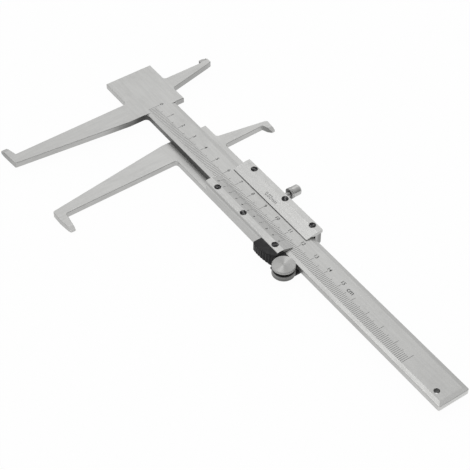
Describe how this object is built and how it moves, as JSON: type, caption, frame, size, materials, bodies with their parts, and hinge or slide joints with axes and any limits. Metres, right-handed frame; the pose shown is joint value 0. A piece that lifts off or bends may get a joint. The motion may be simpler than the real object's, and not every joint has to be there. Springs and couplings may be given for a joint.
{
  "type": "inside groove vernier caliper",
  "caption": "Flat steel vernier caliper with long and short outward hooks for measuring the diameter of grooves inside a bore, with thumb roller and lock screw.",
  "frame": {"origin": "on the slider's flat back face, on the beam's centre line, straight under the vernier's zero line, with the slider set to read 64.4 mm", "axes": "+X along the beam towards its free end, +Y towards the short jaws and the lock screw, +Z from the slider's back face towards the graduated face"},
  "size_m": [0.2571, 0.1237, 0.0083],
  "materials": {
    "satin_steel": "satin ground",
    "plate_steel": "matt chromed",
    "black_steel": "blackened",
    "spring_steel": "rolled",
    "turned_steel": "fine turned",
    "black_plastic": "moulded, lightly textured"
  },
  "bodies": {
    "beam": {"beam": "satin_steel"},
    "slider": {"slider_frame": "satin_steel", "vernier_plate": "plate_steel", "cover_plate": "plate_steel", "plate_screw_1": "black_steel", "plate_screw_2": "black_steel", "plate_screw_3": "black_steel", "plate_screw_4": "black_steel", "plate_screw_5": "black_steel", "plate_screw_6": "black_steel", "gib_strip": "spring_steel", "thumb_grip": "black_plastic", "roller_axle": "turned_steel", "roller_spring": "spring_steel"},
    "roller": {"thumb_roller": "turned_steel"},
    "lock_screw": {"lock_screw": "turned_steel"}
  },
  "joints": [
    {"name": "slider_slide", "type": "slide", "parent": "beam", "child": "slider", "axis": [1, 0, 0], "range_m": [-0.0554, 0.0856]},
    {"name": "roller_spin", "type": "hinge", "parent": "slider", "child": "roller", "pos_m": [0.0618, -0.01405, 0.005], "axis": [0, 0, 1], "continuous": true},
    {"name": "lock_turn", "type": "hinge", "parent": "slider", "child": "lock_screw", "pos_m": [0.0242, 0.0171, 0.00461], "axis": [0, 1, 0], "range_deg": [0, 270]}
  ],
  "couplings": [
    {"joint": "roller_spin", "follows": "slider_slide", "rad_per_m": 180.18}
  ]
}
